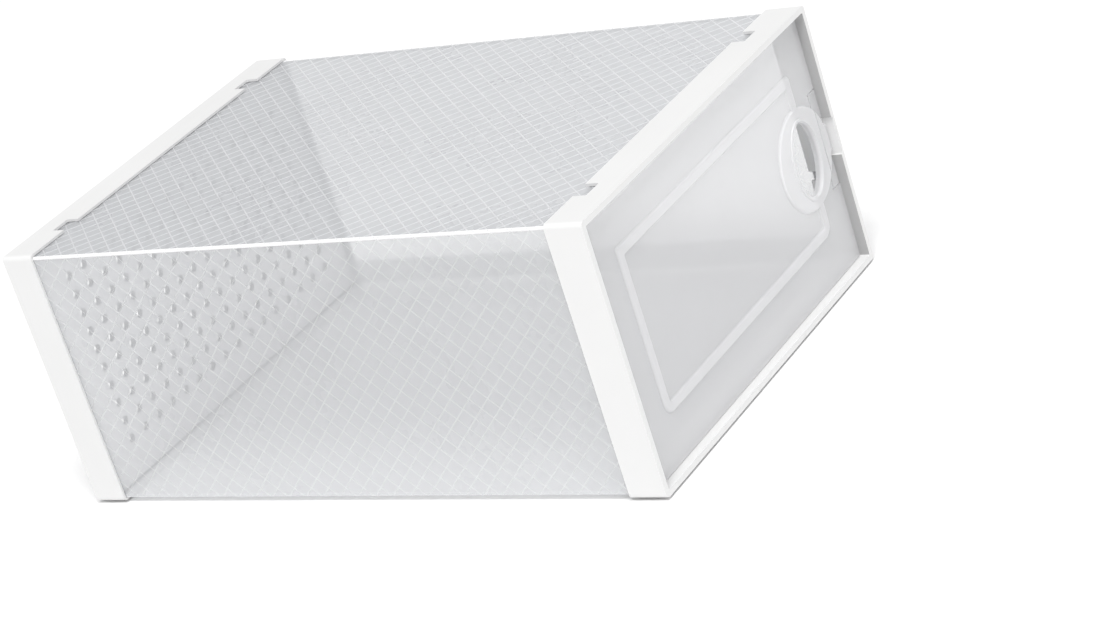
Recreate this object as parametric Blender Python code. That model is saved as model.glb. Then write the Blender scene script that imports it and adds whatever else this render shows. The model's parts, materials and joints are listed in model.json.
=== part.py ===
"""Stackable shoe box: folded clear body, two white end rings, vented back, side-hung door.

X is the width, Y the length (the door faces -Y), Z is up; the origin is under the middle.
All dimensions are in millimetres and are written to the meshes in metres.
"""
import bpy
import bmesh
from math import cos, sin, pi, radians

MM = 0.001

# Overall size
WIDTH = 230.0
LENGTH = 330.0
LUG_H = 1.4                     # stacking lugs under the rings
RING_H = 136.1
Z0 = LUG_H                      # underside of the rings
Z1 = LUG_H + RING_H             # top of the rings
Z_MID = (Z0 + Z1) / 2
GAP = 0.3                       # running and assembly clearance

# End rings: distances "in" are measured inward from the ring's outer surface
RING_R = 2.2                    # outer corner radius of both rings
RING_SKIN = 1.3                 # outer wall around the folded body
FRONT_D = 19.5
REAR_D = 18.0
RIM_T = 3.0                     # solid front rim around the door
LIP_T = 4.5                     # ring thickness behind the door
LIP_Y = -158.2                  # plane of the ledge that the door closes against
CHANNEL_Y = -157.4              # bottom of the channel for the body
FLANGE_W = 5.0                  # rear ring's back flange
FLANGE_T = 1.6
NOTCH_X = 81.0                  # stacking notches in the top bars
NOTCH_W = 12.0
NOTCH_D = 7.0
LUG_W = 10.5
LUG_D = 5.5

# Folded body
SHEET_T = 1.2
SHEET_IN = RING_SKIN + GAP
SHEET_Y0 = CHANNEL_Y + GAP
SHEET_Y1 = LENGTH / 2 - FLANGE_T - GAP
SEAM_H = 14.0                   # glued flap inside the right wall
SEAM_Y0 = -LENGTH / 2 + FRONT_D + 0.5
SEAM_Y1 = LENGTH / 2 - REAR_D - 0.5

# Vented back
BACK_Y = 150.0
BACK_T = 1.5
BACK_IN = SHEET_IN + SHEET_T + GAP
VENT_COLS = 16
VENT_ROWS = 10
VENT_DX = 12.2
VENT_DZ = 10.1
VENT_R = 2.5

# Door
DOOR_FRONT = -160.2
DOOR_BACK = -158.5
DOOR_EDGE = 111.5               # latch edge
DOOR_Z0 = Z0 + RIM_T + 0.5
DOOR_Z1 = Z1 - RIM_T - 0.5
HINGE_X = -109.3
HINGE_Y = -160.6
BARREL_R = 2.0
PIN_R = 1.3
PIN_L = 1.5
BEAD_X = 90.4                   # outer edge of the raised bead
BEAD_Z0 = Z0 + 26.6
BEAD_Z1 = Z1 - 24.9
BEAD_W = 6.0
BEAD_H = 1.2
HOLE_X = 85.0
HOLE_Z = Z_MID + 0.6
HOLE_RX = 12.2
HOLE_RZ = 19.0
BOSS_R = 24.6
BOSS_H = 1.5
LATCH_GROOVE_X = 103.4
RECESS_H = 20.0                 # catch recess in the right stile


def clear_scene():
    for item in list(bpy.data.objects):
        bpy.data.objects.remove(item, do_unlink=True)


def plastic(name, color, roughness, alpha=1.0):
    mat = bpy.data.materials.new(name)
    mat.use_nodes = True
    shader = mat.node_tree.nodes["Principled BSDF"]
    shader.inputs["Base Color"].default_value = (*color, 1.0)
    shader.inputs["Roughness"].default_value = roughness
    shader.inputs["Metallic"].default_value = 0.0
    shader.inputs["Alpha"].default_value = alpha
    mat.diffuse_color = (*color, alpha)
    return mat


def new_object(name, bm, mat=None):
    bmesh.ops.recalc_face_normals(bm, faces=bm.faces)
    bmesh.ops.scale(bm, vec=(MM, MM, MM), verts=bm.verts)
    mesh = bpy.data.meshes.new(name)
    bm.to_mesh(mesh)
    bm.free()
    obj = bpy.data.objects.new(name, mesh)
    bpy.context.scene.collection.objects.link(obj)
    if mat:
        mesh.materials.append(mat)
    return obj


def combine(obj, bm, operation):
    """Join a solid to an object, or cut it away, and keep the result as the mesh."""
    tool = new_object("tool", bm)
    mod = obj.modifiers.new("combine", "BOOLEAN")
    mod.operation = operation
    mod.solver = "EXACT"
    mod.object = tool
    graph = bpy.context.evaluated_depsgraph_get()
    mesh = bpy.data.meshes.new_from_object(obj.evaluated_get(graph))
    obj.modifiers.clear()
    obj.data = mesh
    mesh.name = obj.name
    bpy.data.objects.remove(tool, do_unlink=True)


def box(x0, x1, y0, y1, z0, z1):
    bm = bmesh.new()
    bmesh.ops.create_cube(bm, size=1.0)
    bmesh.ops.scale(bm, vec=(x1 - x0, y1 - y0, z1 - z0), verts=bm.verts)
    bmesh.ops.translate(bm, vec=((x0 + x1) / 2, (y0 + y1) / 2, (z0 + z1) / 2), verts=bm.verts)
    return bm


def loft(loops, closed=False):
    """Skin a list of equal loops of points; cap the ends unless the list closes on itself."""
    bm = bmesh.new()
    rings = [[bm.verts.new(p) for p in loop] for loop in loops]
    count = len(rings[0])
    pairs = list(zip(rings, rings[1:]))
    if closed:
        pairs.append((rings[-1], rings[0]))
    else:
        bm.faces.new(rings[0])
        bm.faces.new(reversed(rings[-1]))
    for a, b in pairs:
        for i in range(count):
            j = (i + 1) % count
            bm.faces.new((a[i], a[j], b[j], b[i]))
    return bm


def ellipse(x, z, rx, rz, y, count):
    return [(x + rx * cos(2 * pi * i / count), y, z + rz * sin(2 * pi * i / count))
            for i in range(count)]


def column(x, y, radius, z0, z1, count=16):
    """Upright round bar."""
    return loft([[(x + radius * cos(2 * pi * i / count), y + radius * sin(2 * pi * i / count), z)
                  for i in range(count)] for z in (z0, z1)])


def rounded_frame(half_x, z_low, z_high, y, low_r, high_r, steps=4):
    """Rectangle in an XZ plane with its own radius for the lower and the upper corners."""
    points = []
    corners = ((half_x, z_low, -90, low_r), (half_x, z_high, 0, high_r),
               (-half_x, z_high, 90, high_r), (-half_x, z_low, 180, low_r))
    for cx, cz, start, radius in corners:
        ox = cx - radius if cx > 0 else cx + radius
        oz = cz + radius if cz == z_low else cz - radius
        for k in range(steps + 1):
            a = radians(start + 90 * k / steps)
            points.append((ox + radius * cos(a), y, oz + radius * sin(a)))
    return points


def ring(section):
    """Sweep a closed section of (y, in) points around the box's outline."""
    loops = []
    for y, inset in section:
        radius = max(RING_R - inset, 0.5)
        loops.append(rounded_frame(WIDTH / 2 - inset, Z0 + inset, Z1 - inset, y, radius, radius))
    return loft(loops, closed=True)


def add_notches_and_lugs(obj, inward_y, side):
    """Two notches in the inward edge of the top bar, two lugs under the bottom bar."""
    for x in (-NOTCH_X, NOTCH_X):
        ys = sorted((inward_y - side, inward_y + side * NOTCH_D))
        combine(obj, box(x - NOTCH_W / 2, x + NOTCH_W / 2, *ys, Z1 - 2.0, Z1 + 1), "DIFFERENCE")
        ys = sorted((inward_y + side * 0.8, inward_y + side * (0.8 + LUG_D)))
        combine(obj, box(x - LUG_W / 2, x + LUG_W / 2, *ys, 0.0, Z0 + 0.6), "UNION")


def front_frame(mat):
    y0 = -LENGTH / 2
    y1 = y0 + FRONT_D
    gap_in = RING_SKIN + 2 * GAP + SHEET_T
    section = [(y0, 1.0), (y0 + 0.3, 0.3), (y0 + 1.0, 0.0), (y1 - 0.7, 0.0), (y1, 0.6),
               (y1, RING_SKIN), (CHANNEL_Y, RING_SKIN), (CHANNEL_Y, gap_in), (y1, gap_in),
               (y1, LIP_T), (LIP_Y, LIP_T), (LIP_Y, RIM_T), (y0 + 0.6, RIM_T), (y0, RIM_T - 0.6)]
    obj = new_object("front_frame", ring(section), mat)
    add_notches_and_lugs(obj, y1, -1)
    inner = WIDTH / 2 - RIM_T
    # Catch recess in the latch stile, open towards the front so that the catch swings in
    combine(obj, box(inner - 0.5, inner + 1.4, y0 - 1, LIP_Y - 0.6,
                     Z_MID - RECESS_H / 2, Z_MID + RECESS_H / 2), "DIFFERENCE")
    # Small cut-out in the inward edge of the same stile
    combine(obj, box(WIDTH / 2 - LIP_T - 1, WIDTH / 2 - gap_in + 0.6, y1 - 4.0, y1 + 1,
                     Z0 + 45.7, Z0 + 50.7), "DIFFERENCE")
    # Blind sockets for the door's two pivots
    for z in (Z0 + RIM_T - 1.8, Z1 - RIM_T - 1.0):
        combine(obj, column(HINGE_X, HINGE_Y, PIN_R + GAP, z, z + 2.8), "DIFFERENCE")
    return obj


def rear_frame(mat):
    y1 = LENGTH / 2
    y0 = y1 - REAR_D
    section = [(y0, RING_SKIN), (y0, 0.6), (y0 + 0.7, 0.0), (y1 - 1.0, 0.0), (y1 - 0.3, 0.3),
               (y1, 1.0), (y1, FLANGE_W), (y1 - FLANGE_T, FLANGE_W), (y1 - FLANGE_T, RING_SKIN)]
    obj = new_object("rear_frame", ring(section), mat)
    add_notches_and_lugs(obj, y0, 1)
    return obj


def body_sheet(mat):
    """One sheet folded at its four long edges; the last flap is glued inside the right wall."""
    xo = WIDTH / 2 - SHEET_IN
    zl, zh = Z0 + SHEET_IN, Z1 - SHEET_IN
    xi, zi, zk = xo - SHEET_T, zl + SHEET_T, zh - SHEET_T
    fold = 0.8
    arc = [(fold * (1 - sin(radians(a))), fold * (1 - cos(radians(a)))) for a in (0, 30, 60, 90)]
    outline = [(xi, zl), (xo, zl)]
    outline += [(xo - q, zh - p) for p, q in arc]
    outline += [(-xo + p, zh - q) for p, q in arc]
    outline += [(-xo + q, zl + p) for p, q in arc]
    outline += [(xi - GAP, zl), (xi - GAP, zi)]
    for x, z, sx, sz in ((-xi, zi, 1, 1), (-xi, zk, 1, -1), (xi, zk, -1, -1)):
        crease = [(x + sx * 0.8, z), (x - sx * 0.3, z - sz * 0.3), (x, z + sz * 0.8)]
        outline += crease if (sx * sz) > 0 else crease[::-1]
    obj = new_object("body_sheet", loft([[(x, y, z) for x, z in outline]
                                         for y in (SHEET_Y0, SHEET_Y1)]), mat)
    flap = box(xi - GAP - SHEET_T, xi - GAP, SEAM_Y0, SEAM_Y1, zl, zl + SEAM_H)
    combine(obj, flap, "UNION")
    return obj


def rear_panel(mat):
    """Shallow tray whose skirt fills the body's rear end; its face has a grid of round vents."""
    half_x = WIDTH / 2 - BACK_IN
    z_low, z_high = Z0 + BACK_IN, Z1 - BACK_IN
    y_face, y_back, y_end = BACK_Y, BACK_Y + BACK_T, SHEET_Y1

    def edge(inset, y, radius):
        return rounded_frame(half_x - inset, z_low + inset, z_high - inset, y, radius, radius)

    obj = new_object("rear_panel", loft([edge(1.6, y_back, 0.5), edge(1.6, y_end, 0.5),
                                         edge(0, y_end, 1.6), edge(0, y_face + 0.5, 1.6),
                                         edge(0.5, y_face, 1.1)]), mat)
    pegs = bmesh.new()
    for row in range(VENT_ROWS):
        for col in range(VENT_COLS):
            x = (col - (VENT_COLS - 1) / 2) * VENT_DX
            z = Z_MID + (row - (VENT_ROWS - 1) / 2) * VENT_DZ
            rings = [[pegs.verts.new(p) for p in ellipse(x, z, VENT_R, VENT_R, y, 10)]
                     for y in (y_face - 1, y_back + 1)]
            pegs.faces.new(rings[0])
            pegs.faces.new(rings[1][::-1])
            for i in range(10):
                j = (i + 1) % 10
                pegs.faces.new((rings[0][i], rings[1][i], rings[1][j], rings[0][j]))
    combine(obj, pegs, "DIFFERENCE")
    return obj


def bead():
    """Raised bead around the door's field: a trapezium swept around a rectangle."""
    loops = []
    root = DOOR_FRONT + 0.4
    for inset, y in ((-0.4, root), (1.2, DOOR_FRONT - BEAD_H),
                     (BEAD_W - 1.2, DOOR_FRONT - BEAD_H), (BEAD_W + 0.4, root)):
        loops.append(rounded_frame(BEAD_X - inset, BEAD_Z0 + inset, BEAD_Z1 - inset, y,
                                   max(7.0 - inset, 1.5), max(2.5 - inset, 1.0)))
    return loft(loops, closed=True)


def door(mat):
    obj = new_object("door", box(HINGE_X, DOOR_EDGE, DOOR_FRONT, DOOR_BACK, DOOR_Z0, DOOR_Z1), mat)
    combine(obj, column(HINGE_X, HINGE_Y, BARREL_R, DOOR_Z0 - 0.2, DOOR_Z1 + 0.2), "UNION")
    combine(obj, bead(), "UNION")
    # Round boss with a sloping edge, then the oval finger hole through it
    boss = loft([ellipse(HOLE_X, HOLE_Z, BOSS_R + 2.0, BOSS_R + 2.0, DOOR_FRONT + 0.4, 40),
                 ellipse(HOLE_X, HOLE_Z, BOSS_R, BOSS_R, DOOR_FRONT - BOSS_H, 40)])
    combine(obj, boss, "UNION")
    lip = loft([ellipse(HOLE_X, HOLE_Z, HOLE_RX + 2.4, HOLE_RZ + 2.4, DOOR_FRONT - 0.5, 40),
                ellipse(HOLE_X, HOLE_Z, HOLE_RX + 1.8, HOLE_RZ + 1.8, DOOR_FRONT - BOSS_H - 0.8, 40)])
    combine(obj, lip, "UNION")
    hole = loft([ellipse(HOLE_X, HOLE_Z, HOLE_RX + 0.6, HOLE_RZ + 0.6, DOOR_FRONT - BOSS_H - 1.2, 40),
                 ellipse(HOLE_X, HOLE_Z, HOLE_RX, HOLE_RZ, DOOR_FRONT - BOSS_H + 0.4, 40),
                 ellipse(HOLE_X, HOLE_Z, HOLE_RX, HOLE_RZ, DOOR_BACK + 1, 40)])
    combine(obj, hole, "DIFFERENCE")
    # Spring tongue on the latch edge: a hinge groove, two slots and a shallow cut-back
    front = DOOR_FRONT - BOSS_H - 1
    combine(obj, box(LATCH_GROOVE_X, LATCH_GROOVE_X + 1.0, front, DOOR_FRONT + 0.9,
                     HOLE_Z - 25.0, HOLE_Z + 25.0), "DIFFERENCE")
    for z in (HOLE_Z - 25.5, HOLE_Z + 24.7):
        combine(obj, box(LATCH_GROOVE_X - 0.3, DOOR_EDGE + 1, front, DOOR_BACK + 1, z, z + 0.8),
                "DIFFERENCE")
    combine(obj, box(DOOR_EDGE - 0.9, DOOR_EDGE + 2, front - 1, DOOR_BACK + 2,
                     HOLE_Z - 25.1, Z_MID + 11), "DIFFERENCE")
    # Catch that sits in the stile's recess
    combine(obj, box(DOOR_EDGE - 2.5, DOOR_EDGE + 1.1, DOOR_FRONT - 0.7, DOOR_BACK - 0.4,
                     Z_MID - 7, Z_MID + 7), "UNION")
    # Pivots
    for z0, z1 in ((DOOR_Z0 - PIN_L - 0.5, DOOR_Z0 + 1), (DOOR_Z1 - 1, DOOR_Z1 + PIN_L + 0.5)):
        combine(obj, column(HINGE_X, HINGE_Y, PIN_R, z0, z1), "UNION")
    # The moving piece's origin lies on its hinge axis
    pivot = (HINGE_X * MM, HINGE_Y * MM, Z_MID * MM)
    for vert in obj.data.vertices:
        vert.co = [c - p for c, p in zip(vert.co, pivot)]
    obj.location = pivot
    return obj


def main():
    clear_scene()
    white = plastic("white_plastic", (0.86, 0.86, 0.85), 0.35)
    clear = plastic("clear_sheet", (0.78, 0.80, 0.82), 0.30, 0.35)
    frosted = plastic("frosted_plastic", (0.76, 0.77, 0.79), 0.40, 0.55)
    vented = plastic("vented_plastic", (0.76, 0.77, 0.79), 0.40, 0.60)
    for obj in (front_frame(white), rear_frame(white), body_sheet(clear),
                rear_panel(vented), door(frosted)):
        obj.data.shade_smooth()
        obj.data.set_sharp_from_angle(angle=radians(35))


main()
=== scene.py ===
"""Stackable shoe box: two white rings, a folded clear body, a vented back and a frosted door.

Pieces are built in millimetres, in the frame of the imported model, and written in metres.
"""
import json
from math import atan2, ceil, floor, pi, radians, sqrt

import bmesh
import bpy
from mathutils import Matrix, Vector


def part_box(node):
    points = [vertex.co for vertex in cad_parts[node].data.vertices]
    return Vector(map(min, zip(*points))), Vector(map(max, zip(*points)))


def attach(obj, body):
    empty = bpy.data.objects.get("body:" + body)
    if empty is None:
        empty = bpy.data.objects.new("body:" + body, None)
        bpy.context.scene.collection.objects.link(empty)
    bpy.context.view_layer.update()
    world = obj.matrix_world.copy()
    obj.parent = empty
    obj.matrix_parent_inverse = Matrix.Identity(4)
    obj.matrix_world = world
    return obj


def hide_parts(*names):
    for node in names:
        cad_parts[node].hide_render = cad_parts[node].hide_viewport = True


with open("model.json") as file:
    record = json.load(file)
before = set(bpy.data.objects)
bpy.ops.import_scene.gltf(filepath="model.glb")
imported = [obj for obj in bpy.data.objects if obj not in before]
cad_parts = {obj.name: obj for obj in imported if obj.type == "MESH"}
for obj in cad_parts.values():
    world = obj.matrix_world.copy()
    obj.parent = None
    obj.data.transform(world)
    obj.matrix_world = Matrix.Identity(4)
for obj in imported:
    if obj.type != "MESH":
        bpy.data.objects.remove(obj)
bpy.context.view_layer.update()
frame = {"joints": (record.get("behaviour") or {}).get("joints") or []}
MM = 0.001


# Front ring: one white polypropylene moulding around the door. It is a picture-frame of four bars
# with mitred corners, a thin rim in front, a ledge behind the door and a channel at the back that
# the folded body is pressed into.
front_low, front_high = (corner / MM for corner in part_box("front_frame"))
LUG_HEIGHT = 1.4
HALF_WIDTH = front_high.x
RING_LOW = front_low.z + LUG_HEIGHT
RING_HIGH = front_high.z
MIDDLE = (RING_LOW + RING_HIGH) / 2
RING_RADIUS = 2.2
RING_SKIN = 1.3
CHANNEL_IN = 3.1
CHANNEL_FLOOR = -157.4
RIM = 3.0
LEDGE = 4.5
LEDGE_Y = -158.2
INNER_RADIUS = 0.7
EDGE_RADIUS = 0.4
NOTCH_X = 81.0
NOTCH_SIZE = (12.0, 7.0, 2.0)
LUG_SIZE = (10.5, 5.5)
LUG_SETBACK = 0.8
RECESS_HALF = 10.0
RECESS_DEPTH = 1.4
CUTOUT_LOW = RING_LOW + 45.7
CUTOUT_HIGH = RING_LOW + 50.7


def sharp_edges(bm, degrees=35.0):
    return [e for e in bm.edges if e.is_manifold and e.calc_face_angle() > radians(degrees)]


def round_off(bm, edges, radius, segments=3):
    bmesh.ops.bevel(bm, geom=edges, offset=radius, segments=segments, profile=0.5,
                    affect="EDGES", clamp_overlap=True, material=-1)


def skin_rounds(bm, rounds):
    """Close the wall between each round of edges and the next, edge to edge."""
    for here, there in zip(rounds, rounds[1:]):
        for pair in zip(here, there):
            bmesh.ops.contextual_create(bm, geom=pair)
    bmesh.ops.recalc_face_normals(bm, faces=bm.faces)


def carry_round(bm, section):
    """Carry a closed section of (y, inset) points round the box, one rectangle for each point."""
    rounds = []
    for y, inset in section:
        x, low, high = HALF_WIDTH - inset, RING_LOW + inset, RING_HIGH - inset
        corners = [bm.verts.new(p) for p in ((-x, y, low), (x, y, low), (x, y, high), (-x, y, high))]
        rounds.append([bm.edges.new(pair) for pair in zip(corners, corners[1:] + corners[:1])])
    skin_rounds(bm, rounds + rounds[:1])


def corner_edges(bm, inset):
    """Edges that run along Y at the four corners, at one inset."""
    return [e for e in bm.edges
            if all(abs(abs(v.co.x) - (HALF_WIDTH - inset)) < 0.01 for v in e.verts)
            and abs(e.verts[0].co.y - e.verts[1].co.y) > 0.5]


def block(bm, low, high, rounding=0.0):
    """Add a block between two corners, its edges rounded off."""
    low, high = Vector(low), Vector(high)
    made = bmesh.ops.create_cube(bm, size=1.0)["verts"]
    bmesh.ops.scale(bm, vec=high - low, verts=made)
    bmesh.ops.translate(bm, vec=(low + high) / 2, verts=made)
    if rounding:
        round_off(bm, [e for e in bm.edges if e.verts[0] in made], rounding)


def make_piece(name, bm, *finishes):
    """Write a bmesh, built in millimetres, as a piece in metres."""
    bmesh.ops.remove_doubles(bm, verts=bm.verts, dist=0.005)
    bmesh.ops.dissolve_degenerate(bm, edges=bm.edges, dist=0.005)
    bmesh.ops.scale(bm, vec=(MM, MM, MM), verts=bm.verts)
    mesh = bpy.data.meshes.new(name)
    bm.to_mesh(mesh)
    bm.free()
    for finish in finishes:
        mesh.materials.append(finish)
    piece = bpy.data.objects.new(name, mesh)
    bpy.context.scene.collection.objects.link(piece)
    return piece


def combine(piece, bm, operation):
    """Join a solid to a piece, or cut it away, and keep the result."""
    tool = make_piece("tool", bm)
    modifier = piece.modifiers.new("combine", "BOOLEAN")
    modifier.operation = operation
    modifier.solver = "EXACT"
    modifier.object = tool
    graph = bpy.context.evaluated_depsgraph_get()
    mesh = bpy.data.meshes.new_from_object(piece.evaluated_get(graph))
    piece.modifiers.clear()
    piece.data = mesh
    bpy.data.objects.remove(tool, do_unlink=True)


def give_finishes(piece, *finishes):
    """Give a piece its materials anew, once its solids are combined."""
    piece.data.materials.clear()
    for finish in finishes:
        piece.data.materials.append(finish)


def smooth_finish(piece, degrees=32.0):
    piece.data.shade_smooth()
    piece.data.set_sharp_from_angle(angle=radians(degrees))
    flat = piece.modifiers.new("flat faces", "WEIGHTED_NORMAL")
    flat.keep_sharp = True


def notches_and_lugs(piece, inward_y, back):
    """Two notches in the inward edge of the top bar, two lugs under the bottom bar."""
    notches, lugs = bmesh.new(), bmesh.new()
    for x in (-NOTCH_X, NOTCH_X):
        ys = sorted((inward_y - back * 3, inward_y + back * NOTCH_SIZE[1]))
        block(notches, (x - NOTCH_SIZE[0] / 2, ys[0], RING_HIGH - NOTCH_SIZE[2]),
              (x + NOTCH_SIZE[0] / 2, ys[1], RING_HIGH + 2), 0.8)
        ys = sorted((inward_y + back * LUG_SETBACK, inward_y + back * (LUG_SETBACK + LUG_SIZE[1])))
        block(lugs, (x - LUG_SIZE[0] / 2, ys[0], front_low.z),
              (x + LUG_SIZE[0] / 2, ys[1], RING_LOW + 0.8), 0.4)
    combine(piece, notches, "DIFFERENCE")
    combine(piece, lugs, "UNION")


def new_group(name, inputs, outputs):
    """Start a shader node group; returns it with its input and output nodes."""
    group = bpy.data.node_groups.new(name, "ShaderNodeTree")
    for label, kind, value in inputs:
        socket = group.interface.new_socket(label, in_out="INPUT", socket_type=kind)
        if value is not None:
            socket.default_value = value
    for label, kind in outputs:
        group.interface.new_socket(label, in_out="OUTPUT", socket_type=kind)
    return group, group.nodes.new("NodeGroupInput"), group.nodes.new("NodeGroupOutput")


# moulded grain, shared by every plastic: slow clouds, as pigment and flow leave them, and the fine
# texture of the mould's surface
CLOUD_SIZE = 20.0
GRAIN_SIZE = 500.0
grain, grain_in, grain_out = new_group(
    "moulded grain",
    [("Place", "NodeSocketVector", None), ("Cloud Size", "NodeSocketFloat", CLOUD_SIZE),
     ("Grain Size", "NodeSocketFloat", GRAIN_SIZE)],
    [("Clouds", "NodeSocketFloat"), ("Grain", "NodeSocketFloat")])
clouds = grain.nodes.new("ShaderNodeTexNoise")
clouds.inputs["Detail"].default_value = 4.0
clouds.inputs["Roughness"].default_value = 0.6
fine = grain.nodes.new("ShaderNodeTexNoise")
fine.inputs["Detail"].default_value = 2.0
grain.links.new(grain_in.outputs["Place"], clouds.inputs["Vector"])
grain.links.new(grain_in.outputs["Cloud Size"], clouds.inputs["Scale"])
grain.links.new(grain_in.outputs["Place"], fine.inputs["Vector"])
grain.links.new(grain_in.outputs["Grain Size"], fine.inputs["Scale"])
grain.links.new(clouds.outputs["Fac"], grain_out.inputs["Clouds"])
grain.links.new(fine.outputs["Fac"], grain_out.inputs["Grain"])


def plastic(name, dark, light, gloss, relief, alpha=1.0):
    """A moulded plastic whose colour and roughness drift with the clouds, with a fine grained skin.

    An alpha below one lets light straight through, as thin clear or frosted plastic does.
    """
    made = bpy.data.materials.new(name)
    made.use_nodes = True
    nodes, links = made.node_tree.nodes, made.node_tree.links
    shader = nodes["Principled BSDF"]
    shader.inputs["Alpha"].default_value = alpha
    place = nodes.new("ShaderNodeTexCoord")
    skin = nodes.new("ShaderNodeGroup")
    skin.node_tree = grain
    skin.inputs["Cloud Size"].default_value = CLOUD_SIZE
    skin.inputs["Grain Size"].default_value = GRAIN_SIZE
    links.new(place.outputs["Object"], skin.inputs["Place"])
    tint = nodes.new("ShaderNodeMix")
    tint.data_type = "RGBA"
    tint.inputs["A"].default_value = (*dark, 1.0)
    tint.inputs["B"].default_value = (*light, 1.0)
    links.new(skin.outputs["Clouds"], tint.inputs["Factor"])
    links.new(tint.outputs["Result"], shader.inputs["Base Color"])
    sheen = nodes.new("ShaderNodeMapRange")
    sheen.inputs["To Min"].default_value = gloss[0]
    sheen.inputs["To Max"].default_value = gloss[1]
    links.new(skin.outputs["Clouds"], sheen.inputs["Value"])
    links.new(sheen.outputs["Result"], shader.inputs["Roughness"])
    bump = nodes.new("ShaderNodeBump")
    bump.inputs["Strength"].default_value = relief
    bump.inputs["Distance"].default_value = 0.0001
    links.new(skin.outputs["Grain"], bump.inputs["Height"])
    links.new(bump.outputs["Normal"], shader.inputs["Normal"])
    return made


white = plastic("white polypropylene", (0.76, 0.76, 0.758), (0.80, 0.80, 0.798), (0.28, 0.42), 0.15)
# painted shade: a darker grey for the latch stile's face towards the door, where shade falls
painted_stile_shade = plastic("latch stile painted shade", (0.40, 0.40, 0.40), (0.45, 0.45, 0.45), (0.45, 0.6), 0.15)

bm = bmesh.new()
carry_round(bm, [
    (front_low.y, 0), (front_high.y, 0), (front_high.y, RING_SKIN), (CHANNEL_FLOOR, RING_SKIN),
    (CHANNEL_FLOOR, CHANNEL_IN), (front_high.y, CHANNEL_IN), (front_high.y, LEDGE), (LEDGE_Y, LEDGE),
    (LEDGE_Y, RIM), (front_low.y, RIM)])
round_off(bm, corner_edges(bm, 0), RING_RADIUS, 6)
round_off(bm, corner_edges(bm, RIM), INNER_RADIUS)
round_off(bm, corner_edges(bm, LEDGE), INNER_RADIUS)
round_off(bm, sharp_edges(bm), EDGE_RADIUS)
front_ring = make_piece("front_ring", bm, white)
notches_and_lugs(front_ring, front_high.y, -1)

# the recess for the door's catch, and a small cut-out in the same stile's inward edge
stile_face = HALF_WIDTH - RIM
cuts = bmesh.new()
block(cuts, (stile_face - 0.8, front_low.y - 1, MIDDLE - RECESS_HALF),
      (stile_face + RECESS_DEPTH, LEDGE_Y - 0.6, MIDDLE + RECESS_HALF), 0.3)
block(cuts, (HALF_WIDTH - LEDGE - 1, front_high.y - 4, CUTOUT_LOW),
      (HALF_WIDTH - CHANNEL_IN + 0.6, front_high.y + 1, CUTOUT_HIGH), 0.3)
combine(front_ring, cuts, "DIFFERENCE")

# the stile's face towards the door, above and below the recess, is painted shade: a darker grey
give_finishes(front_ring, white, painted_stile_shade)
for face in front_ring.data.polygons:
    middle = face.center / MM
    if face.normal.x < -0.9 and abs(middle.x - stile_face) < 0.3 and middle.y < LEDGE_Y:
        face.material_index = 1
smooth_finish(front_ring)
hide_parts("front_frame")
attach(front_ring, "box")


# Rear ring: the same white moulding with a flat flange around the back, which keeps the vented
# back from being pushed out.
rear_low, rear_high = (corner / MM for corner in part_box("rear_frame"))
FLANGE = 5.0
FLANGE_THICK = 1.6

bm = bmesh.new()
carry_round(bm, [
    (rear_low.y, 0), (rear_high.y, 0), (rear_high.y, FLANGE), (rear_high.y - FLANGE_THICK, FLANGE),
    (rear_high.y - FLANGE_THICK, RING_SKIN), (rear_low.y, RING_SKIN)])
round_off(bm, corner_edges(bm, 0), RING_RADIUS, 6)
round_off(bm, corner_edges(bm, FLANGE), INNER_RADIUS)
round_off(bm, sharp_edges(bm), EDGE_RADIUS)
rear_ring = make_piece("rear_ring", bm, white)
notches_and_lugs(rear_ring, rear_low.y, 1)
smooth_finish(rear_ring)
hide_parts("rear_frame")
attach(rear_ring, "box")


# Folded body: one clear polypropylene sheet, embossed with a fine raised lattice, creased along its
# four long edges and glued by a narrow flap inside the right wall. It is made here as it is in
# the works: embossed flat, given its thickness, then folded one panel after another.
sheet_low, sheet_high = (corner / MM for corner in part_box("body_sheet"))
SHEET_THICK = 1.2
PITCH = 7.2
LINE_HALF = 0.35
LINE_RISE = 0.15
FLAP = 14.0
FLAP_GAP = 0.3
CREASE_RADIUS = 0.9
CLEAR, LINE, INSIDE, CREASE, TOP, TOP_LINE, GLUED = range(7)

top_z = sheet_high.z
wall = sheet_high.z - sheet_low.z
fold_right = sheet_high.x
fold_left = sheet_low.x
fold_floor = fold_left - wall
fold_flap = fold_floor - (fold_right - SHEET_THICK - FLAP_GAP - fold_left)
flat_left = fold_flap - FLAP
flat_right = fold_right + wall
folds = (fold_flap, fold_floor, fold_left, fold_right)


def slice_across(bm, place, normal, clear_beyond=False):
    """Cut every face that a plane crosses, and clear away what lies beyond it if asked."""
    bmesh.ops.bisect_plane(bm, geom=bm.verts[:] + bm.edges[:] + bm.faces[:], dist=0.001,
                           plane_co=place, plane_no=normal, clear_outer=clear_beyond)


# flat sheet: three rows of points to a cell, the crest of its line and the foot of each slope
bm = bmesh.new()
reach = (flat_right - flat_left + sheet_high.y - sheet_low.y) / sqrt(2)
cells = ceil(reach / PITCH / 2) * 2
bmesh.ops.create_grid(bm, x_segments=3 * cells, y_segments=3 * cells, size=1.5 * cells)
step = (0.0, LINE_HALF, PITCH - LINE_HALF)
for vert in bm.verts:
    column, row = round(vert.co.x + 1.5 * cells), round(vert.co.y + 1.5 * cells)
    vert.co = ((column // 3 - cells / 2) * PITCH + step[column % 3],
               (row // 3 - cells / 2) * PITCH + step[row % 3],
               LINE_RISE if column % 3 == 0 or row % 3 == 0 else 0.0)
for face in bm.faces:
    face.material_index = LINE if max(v.co.z for v in face.verts) > 0 else CLEAR
bmesh.ops.rotate(bm, cent=(0, 0, 0), matrix=Matrix.Rotation(pi / 4, 3, "Z"), verts=bm.verts)
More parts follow.
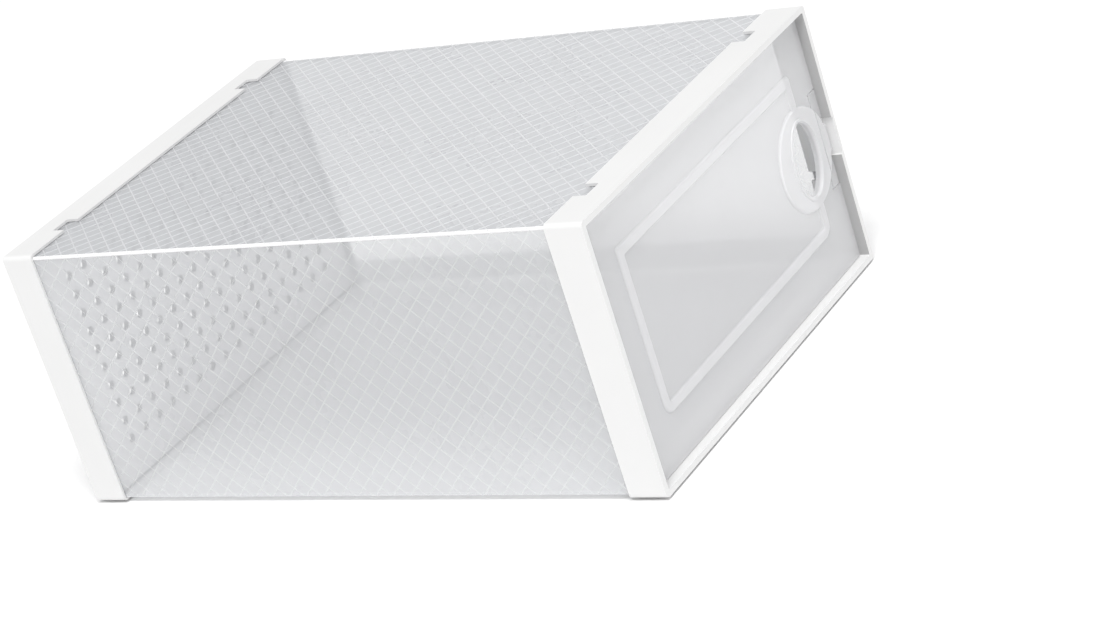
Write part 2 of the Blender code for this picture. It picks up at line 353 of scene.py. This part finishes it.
bmesh.ops.translate(bm, vec=((flat_left + flat_right) / 2, 0, top_z), verts=bm.verts)
for place, away in (((0, sheet_low.y, 0), (0, -1, 0)), ((0, sheet_high.y, 0), (0, 1, 0)),
                    ((flat_left, 0, 0), (-1, 0, 0)), ((flat_right, 0, 0), (1, 0, 0))):
    slice_across(bm, place, away, clear_beyond=True)
for x in folds:
    slice_across(bm, (x, 0, 0), (1, 0, 0))
for edge in bm.edges:
    edge.seam = any(all(abs(v.co.x - x) < 0.002 for v in edge.verts) for x in folds)

# its thickness, with a plain inside face
thick = bmesh.ops.extrude_face_region(bm, geom=bm.faces[:], use_keep_orig=True)["geom"]
inside = [item for item in thick if isinstance(item, bmesh.types.BMFace)]
for vert in {v for face in inside for v in face.verts}:
    vert.co.z = top_z - SHEET_THICK
for face in inside:
    face.material_index = INSIDE
for face in bm.faces:
    if face.calc_center_median().x < fold_flap:
        face.material_index = GLUED
bm.normal_update()
bmesh.ops.dissolve_limit(bm, angle_limit=0.02, verts=list({v for f in inside for v in f.verts}),
                         edges=list({e for f in inside for e in f.edges}), delimit={"SEAM"})

# each panel is turned down at its fold, and its inside edges are drawn in to the mitre
flat_place = {vert: vert.co.copy() for vert in bm.verts}
inner_low = Vector((fold_left + SHEET_THICK, 0, sheet_low.z + SHEET_THICK))
inner_high = Vector((fold_right - SHEET_THICK, 0, top_z - SHEET_THICK))
for x, beyond, turn in ((fold_flap, -1, -90), (fold_floor, -1, -90), (fold_left, -1, -90),
                        (fold_right, 1, 90)):
    panel = [v for v, flat in flat_place.items() if (flat.x - x) * beyond > 0.001]
    bmesh.ops.rotate(bm, cent=(x, 0, top_z), matrix=Matrix.Rotation(radians(turn), 3, "Y"), verts=panel)
for vert, flat in flat_place.items():
    if flat.z < top_z - SHEET_THICK / 2 and flat.x > fold_flap + 0.01:
        vert.co.x = min(max(vert.co.x, inner_low.x), inner_high.x)
        vert.co.z = min(max(vert.co.z, inner_low.z), inner_high.z)
    elif flat.z < top_z - SHEET_THICK / 2:
        vert.co.x = min(vert.co.x, inner_high.x - FLAP_GAP - SHEET_THICK)
        vert.co.z = max(vert.co.z, inner_low.z)
bmesh.ops.remove_doubles(bm, verts=bm.verts, dist=0.002)
# painted shade: the faces on top take the greyer top finishes
for face in bm.faces:
    if face.calc_center_median().z > top_z - SHEET_THICK - 0.01:
        face.material_index = TOP_LINE if face.material_index == LINE else TOP

# the creases, pressed thick; the two along the top are whitened, partly as bent plastic whitens and
# partly as a painted highlight where light catches the top folds
crease_length = sheet_high.y - sheet_low.y - 0.4
inward = CREASE_RADIUS * 0.75
for x, z in ((fold_left, top_z), (fold_right, top_z), (fold_left, sheet_low.z), (fold_right, sheet_low.z)):
    rod = bmesh.ops.create_cone(bm, cap_ends=True, segments=12, radius1=CREASE_RADIUS,
                                radius2=CREASE_RADIUS, depth=crease_length)["verts"]
    bmesh.ops.rotate(bm, cent=(0, 0, 0), matrix=Matrix.Rotation(pi / 2, 3, "X"), verts=rod)
    bmesh.ops.translate(bm, verts=rod, vec=(x - inward if x > 0 else x + inward,
                                            (sheet_low.y + sheet_high.y) / 2,
                                            z - inward if z > MIDDLE else z + inward))
    for face in {f for v in rod for f in v.link_faces}:
        # real whitening and painted highlight: only the upper creases take the white crease finish
        face.material_index = CREASE if z > MIDDLE else INSIDE
bmesh.ops.recalc_face_normals(bm, faces=bm.faces)

# the sheet's finishes, in the order of their numbers: the top is made greyer and hazier than the
# sides, as painted shade on the same sheet, and the flap is milkier for its glue
clear_tints = ((0.90, 0.91, 0.93), (0.93, 0.94, 0.96))
pale_tints = ((0.93, 0.94, 0.95), (0.95, 0.96, 0.97))
sheet_finishes = (
    plastic("clear sheet", *clear_tints, (0.22, 0.34), 0.03, 0.33),
    plastic("raised line", *pale_tints, (0.25, 0.40), 0.03, 0.40),
    plastic("clear sheet inside", *clear_tints, (0.30, 0.45), 0.03, 0.20),
    plastic("whitened crease and painted highlight", (0.93, 0.93, 0.93), (0.96, 0.96, 0.96), (0.35, 0.5), 0.1, 0.95),
    # painted shade: the same sheet, made greyer where it lies on top
    plastic("top panel painted shade", (0.62, 0.63, 0.65), (0.66, 0.67, 0.69), (0.22, 0.34), 0.03, 0.55),
    plastic("top line painted shade", (0.74, 0.75, 0.77), (0.78, 0.79, 0.81), (0.25, 0.40), 0.03, 0.66),
    plastic("glued flap", *pale_tints, (0.25, 0.40), 0.03, 0.45))
body = make_piece("folded_body", bm, *sheet_finishes)
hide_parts("body_sheet")
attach(body, "box")


# Vented back: a shallow tray moulded in frosted polypropylene, pierced by rows of round vents that
# narrow a little towards the back. Its skirt fills the rear end of the folded body.
back_low, back_high = (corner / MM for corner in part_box("rear_panel"))
PLATE_THICK = 3.0
SKIRT_THICK = 1.6
VENT_COLUMNS = 16
VENT_ROWS = 10
VENT_STEP = (12.2, 10.1)
VENT_RADIUS = 2.4
VENT_BACK_RADIUS = 1.9
vented = plastic("vented plastic", (0.80, 0.80, 0.81), (0.84, 0.84, 0.85), (0.35, 0.5), 0.15, 0.8)
# painted shade: the vents' walls are a dark grey, standing in for the shade inside the holes
painted_shade_vent_wall = plastic("vent wall painted shade", (0.20, 0.20, 0.21), (0.24, 0.24, 0.25), (0.35, 0.5), 0.1, 0.95)

grid_half = Vector((VENT_COLUMNS * VENT_STEP[0] / 2, VENT_ROWS * VENT_STEP[1] / 2, 0))
plate_half = Vector(((back_high.x - back_low.x) / 2, (back_high.z - back_low.z) / 2, 0))
back_middle = (back_low.z + back_high.z) / 2
plate_back = back_low.y + PLATE_THICK


def within_skirt(place, margin=0.0):
    return (abs(place.x) < plate_half.x - SKIRT_THICK - margin
            and abs(place.z - back_middle) < plate_half.y - SKIRT_THICK - margin)


# one cell of the plate: a square whose middle is taken out and drawn to the vent's circle
bm = bmesh.new()
bmesh.ops.create_grid(bm, x_segments=6, y_segments=6, size=3)
core = [f for f in bm.faces if max(map(abs, f.calc_center_median())) < 2]
bmesh.ops.delete(bm, geom=core, context="FACES")
for vert in bm.verts:
    if max(abs(vert.co.x), abs(vert.co.y)) < 2.5:
        vert.co = vert.co.normalized() * VENT_RADIUS
    else:
        vert.co = (vert.co.x * VENT_STEP[0] / 6, vert.co.y * VENT_STEP[1] / 6, 0)

# the cells side by side, the outermost drawn out to the plate's edges
cell = bm.verts[:] + bm.edges[:] + bm.faces[:]
for column in range(VENT_COLUMNS):
    for row in range(VENT_ROWS):
        copy = bmesh.ops.duplicate(bm, geom=cell)["geom"]
        bmesh.ops.translate(bm, verts=[v for v in copy if isinstance(v, bmesh.types.BMVert)],
                            vec=((column - (VENT_COLUMNS - 1) / 2) * VENT_STEP[0],
                                 (row - (VENT_ROWS - 1) / 2) * VENT_STEP[1], 0))
bmesh.ops.delete(bm, geom=[item for item in cell if isinstance(item, bmesh.types.BMVert)], context="VERTS")
bmesh.ops.remove_doubles(bm, verts=bm.verts, dist=0.01)
for vert in bm.verts:
    for axis in (0, 1):
        if abs(abs(vert.co[axis]) - grid_half[axis]) < 0.01:
            vert.co[axis] = plate_half[axis] if vert.co[axis] > 0 else -plate_half[axis]
bmesh.ops.rotate(bm, cent=(0, 0, 0), matrix=Matrix.Rotation(pi / 2, 3, "X"), verts=bm.verts)
bmesh.ops.translate(bm, vec=(0, back_low.y, back_middle), verts=bm.verts)
for place, normal in (((back_low.x + SKIRT_THICK, 0, 0), (1, 0, 0)),
                      ((back_high.x - SKIRT_THICK, 0, 0), (1, 0, 0)),
                      ((0, 0, back_low.z + SKIRT_THICK), (0, 0, 1)),
                      ((0, 0, back_high.z - SKIRT_THICK), (0, 0, 1))):
    slice_across(bm, place, normal)

# the plate's thickness, the vents' taper and the skirt
plate = bmesh.ops.extrude_face_region(bm, geom=bm.faces[:], use_keep_orig=True)["geom"]
bmesh.ops.translate(bm, vec=(0, PLATE_THICK, 0),
                    verts=[v for v in plate if isinstance(v, bmesh.types.BMVert)])
bmesh.ops.recalc_face_normals(bm, faces=bm.faces)
for vert in bm.verts:
    column = floor(vert.co.x / VENT_STEP[0]) + 0.5
    row = floor((vert.co.z - back_middle) / VENT_STEP[1]) + 0.5
    centre = Vector((column * VENT_STEP[0], vert.co.y, row * VENT_STEP[1] + back_middle))
    arm = vert.co - centre
    if vert.co.y > plate_back - 0.01 and arm.length < VENT_RADIUS + 0.1:
        vert.co = centre + arm * VENT_BACK_RADIUS / VENT_RADIUS
middles = {face: face.calc_center_median() for face in bm.faces}
border = [f for f, middle in middles.items() if middle.y > plate_back - 0.01 and not within_skirt(middle)]
skirt = bmesh.ops.extrude_face_region(bm, geom=border)["geom"]
bmesh.ops.delete(bm, geom=[face for face in border if face.is_valid], context="FACES")
bmesh.ops.translate(bm, vec=(0, back_high.y - plate_back, 0),
                    verts=[v for v in skirt if isinstance(v, bmesh.types.BMVert)])
bmesh.ops.recalc_face_normals(bm, faces=bm.faces)
rims = [e for e in sharp_edges(bm) if all(abs(v.co.y - back_low.y) < 0.01 for v in e.verts)]
round_off(bm, rims, 0.3, 2)
# the vents' walls take the dark painted-shade finish
for face in bm.faces:
    if abs(face.normal.y) < 0.3 and all(within_skirt(v.co, 1.0) for v in face.verts):
        face.material_index = 1
vented_back = make_piece("vented_back", bm, vented, painted_shade_vent_wall)
smooth_finish(vented_back)
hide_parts("rear_panel")
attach(vented_back, "box")


# Door: frosted polypropylene plate, hung on two pivots moulded at its left edge. A raised bead
# stiffens the field, a round boss carries the oval finger hole, and a slotted tongue at the right
# edge springs the catch into the ring.
DOOR_FRONT = -160.2
DOOR_BACK = -158.5
DOOR_EDGE = 111.5
DOOR_LOW = RING_LOW + RIM + 0.5
DOOR_HIGH = RING_HIGH - RIM - 0.5
BARREL_RADIUS = 2.0
PIVOT_RADIUS = 1.3
PIVOT_LENGTH = 1.5
BEAD_X = 90.4
BEAD_LOW = RING_LOW + 26.6
BEAD_HIGH = RING_HIGH - 24.9
BEAD_WIDTH = 6.0
BEAD_RISE = 1.2
HOLE_X = 85.0
HOLE_Z = MIDDLE + 0.6
HOLE_RADII = (12.2, 19.0)
BOSS_RADIUS = 24.6
BOSS_RISE = 1.5
BOSS_FRONT = DOOR_FRONT - BOSS_RISE
GROOVE_X = 103.4
GROOVE_HALF = 25.0
SLOT_Z = 25.1
SLOT_WIDTH = 0.8
TONGUE_SETBACK = 0.9
CATCH_HALF = 7.0
CATCH_REACH = 1.1
hinge = Vector(frame["joints"][0]["pos_m"]) / MM


def bead_outline(bm, inset, y):
    """Rectangle around the door's field with softer lower corners, as a round of edges."""
    before = set(bm.edges)
    x, low, high = BEAD_X - inset, BEAD_LOW + inset, BEAD_HIGH - inset
    corners = [bm.verts.new(p) for p in ((-x, y, low), (x, y, low), (x, y, high), (-x, y, high))]
    bm.faces.new(corners)
    bmesh.ops.bevel(bm, geom=corners[:2], offset=max(7.0 - inset, 1.5), segments=6, profile=0.5,
                    affect="VERTICES", material=-1)
    bmesh.ops.bevel(bm, geom=corners[2:], offset=max(2.5 - inset, 1.0), segments=6, profile=0.5,
                    affect="VERTICES", material=-1)
    bmesh.ops.delete(bm, geom=bm.faces[:], context="FACES_ONLY")
    centre = Vector((0, 0, (BEAD_LOW + BEAD_HIGH) / 2))
    middles = {e: (e.verts[0].co + e.verts[1].co) / 2 - centre for e in bm.edges if e not in before}
    return sorted(middles, key=lambda e: atan2(middles[e].z, middles[e].x))


def oval(bm, radii, y):
    """Oval around the finger hole's centre, as a round of edges."""
    made = bmesh.ops.create_circle(bm, segments=48, radius=1.0)["verts"]
    bmesh.ops.scale(bm, vec=(radii[0], radii[1], 1), verts=made)
    bmesh.ops.rotate(bm, cent=(0, 0, 0), matrix=Matrix.Rotation(pi / 2, 3, "X"), verts=made)
    bmesh.ops.translate(bm, vec=(HOLE_X, y, HOLE_Z), verts=made)
    return [e for e in bm.edges if all(v in made for v in e.verts)]


def oval_solid(steps):
    """Solid through a list of ((x radius, z radius), y) ovals."""
    bm = bmesh.new()
    rounds = [oval(bm, radii, y) for radii, y in steps]
    for end in (rounds[0], rounds[-1]):
        bmesh.ops.contextual_create(bm, geom=end)
    skin_rounds(bm, rounds)
    return bm


def around_hole(*steps):
    """Solid through ovals that stand clear of the finger hole, each given as (margin, y)."""
    return oval_solid([((HOLE_RADII[0] + margin, HOLE_RADII[1] + margin), y) for margin, y in steps])


def hinge_rod(radius, low, high):
    """Rod on the hinge's axis."""
    bm = bmesh.new()
    bmesh.ops.create_cone(bm, cap_ends=True, segments=24, radius1=radius, radius2=radius, depth=high - low)
    bmesh.ops.translate(bm, vec=(hinge.x, hinge.y, (low + high) / 2), verts=bm.verts)
    return bm


def solid_block(low, high, rounding=0.0):
    bm = bmesh.new()
    block(bm, low, high, rounding)
    return bm


# plate, hinge barrel and pivots
door = make_piece("frosted_door", solid_block((hinge.x, DOOR_FRONT, DOOR_LOW),
                                              (DOOR_EDGE, DOOR_BACK, DOOR_HIGH), 0.25))
combine(door, hinge_rod(BARREL_RADIUS, DOOR_LOW - 0.2, DOOR_HIGH + 0.2), "UNION")
combine(door, hinge_rod(PIVOT_RADIUS, DOOR_LOW - PIVOT_LENGTH - 0.5,
                        DOOR_HIGH + PIVOT_LENGTH + 0.5), "UNION")

# raised bead
bm = bmesh.new()
root = DOOR_FRONT + 0.4
rounds = [bead_outline(bm, inset, y) for inset, y in (
    (-0.4, root), (0.5, DOOR_FRONT - 0.6 * BEAD_RISE), (1.3, DOOR_FRONT - BEAD_RISE),
    (BEAD_WIDTH - 1.3, DOOR_FRONT - BEAD_RISE), (BEAD_WIDTH - 0.5, DOOR_FRONT - 0.6 * BEAD_RISE),
    (BEAD_WIDTH + 0.4, root))]
skin_rounds(bm, rounds + rounds[:1])
combine(door, bm, "UNION")

# round boss, the lip on it and the finger hole through both
combine(door, oval_solid([((BOSS_RADIUS + 2.0,) * 2, root),
                          ((BOSS_RADIUS + 0.7,) * 2, DOOR_FRONT - 0.8 * BOSS_RISE),
                          ((BOSS_RADIUS - 0.2,) * 2, BOSS_FRONT)]), "UNION")
combine(door, around_hole((2.4, DOOR_FRONT - 0.5), (1.9, BOSS_FRONT - 0.6),
                          (1.3, BOSS_FRONT - 0.8)), "UNION")
combine(door, around_hole((0.8, BOSS_FRONT - 1.2), (0.2, BOSS_FRONT - 0.2), (0, BOSS_FRONT + 0.4),
                          (0, DOOR_BACK + 1)), "DIFFERENCE")

# spring tongue: its groove, the slots above and below, its edge set back, and the catch on it
combine(door, solid_block((GROOVE_X, BOSS_FRONT - 1, HOLE_Z - GROOVE_HALF),
                          (GROOVE_X + 1.0, DOOR_FRONT + 0.9, HOLE_Z + GROOVE_HALF)), "DIFFERENCE")
for z in (HOLE_Z - SLOT_Z, HOLE_Z + SLOT_Z):
    combine(door, solid_block((GROOVE_X - 0.3, BOSS_FRONT - 1, z - SLOT_WIDTH / 2),
                              (DOOR_EDGE + 1, DOOR_BACK + 1, z + SLOT_WIDTH / 2)), "DIFFERENCE")
combine(door, solid_block((DOOR_EDGE - TONGUE_SETBACK, BOSS_FRONT - 2, HOLE_Z - SLOT_Z),
                          (DOOR_EDGE + 2, DOOR_BACK + 2, MIDDLE + 11)), "DIFFERENCE")
combine(door, solid_block((DOOR_EDGE - 2.5, DOOR_FRONT - 0.7, MIDDLE - CATCH_HALF),
                          (DOOR_EDGE + CATCH_REACH, DOOR_BACK - 0.4, MIDDLE + CATCH_HALF), 0.3), "UNION")

# the thicker the plastic, the milkier: the bead, the boss and the lip stand out by it
frosted = plastic("frosted plastic", (0.82, 0.82, 0.835), (0.86, 0.86, 0.875), (0.38, 0.52), 0.15)
nodes, links = frosted.node_tree.nodes, frosted.node_tree.links
axes = nodes.new("ShaderNodeSeparateXYZ")
milkiness = nodes.new("ShaderNodeMapRange")
milkiness.inputs["From Min"].default_value = (DOOR_FRONT - 0.2) * MM
milkiness.inputs["From Max"].default_value = (DOOR_FRONT - BEAD_RISE) * MM
milkiness.inputs["To Min"].default_value = 0.42
milkiness.inputs["To Max"].default_value = 0.64
links.new(nodes["Texture Coordinate"].outputs["Object"], axes.inputs["Vector"])
links.new(axes.outputs["Y"], milkiness.inputs["Value"])
links.new(milkiness.outputs["Result"], nodes["Principled BSDF"].inputs["Alpha"])
give_finishes(door, frosted)
smooth_finish(door)
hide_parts("door")
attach(door, "door")


# Studio: a plain pale floor, one large softbox high at the front left and an even white sky.
bm = bmesh.new()
bmesh.ops.create_grid(bm, x_segments=1, y_segments=1, size=12000)
pale = bpy.data.materials.new("pale floor")
pale.use_nodes = True
pale_shader = pale.node_tree.nodes["Principled BSDF"]
pale_shader.inputs["Base Color"].default_value = (0.97, 0.97, 0.97, 1)
pale_shader.inputs["Roughness"].default_value = 0.9
pale_shader.inputs["Specular IOR Level"].default_value = 0.1
make_piece("floor", bm, pale)

world = bpy.data.worlds.new("studio")
world.use_nodes = True
world.node_tree.nodes["Background"].inputs["Color"].default_value = (1, 1, 1, 1)
world.node_tree.nodes["Background"].inputs["Strength"].default_value = 0.54
bpy.context.scene.world = world

light = bpy.data.lights.new("key softbox", "AREA")
light.shape = "RECTANGLE"
light.size = 3.4
light.size_y = 3.4
light.energy = 415
softbox = bpy.data.objects.new("key softbox", light)
softbox.location = (-2.6, -1.9, 6.4)
softbox.rotation_euler = (Vector((0, 0, 0.07)) - softbox.location).to_track_quat("-Z", "Y").to_euler()
bpy.context.scene.collection.objects.link(softbox)

# camera, held a little tilted
right = Vector((0.466889, -0.836915, -0.285637))
down = Vector((-0.476192, 0.034237, -0.878675))
ahead = Vector((0.745155, 0.546261, -0.382547))
lens = bpy.data.cameras.new("camera")
lens.lens = 103.26
lens.sensor_width = 36
lens.clip_end = 100
camera = bpy.data.objects.new("camera", lens)
turn = Matrix((right, -down, -ahead)).transposed().to_4x4()
camera.matrix_world = Matrix.Translation((-1.14355, -0.89073, 0.6196)) @ turn
bpy.context.scene.collection.objects.link(camera)
bpy.context.scene.camera = camera
bpy.context.scene.view_settings.view_transform = "Standard"

bpy.context.view_layer.update()
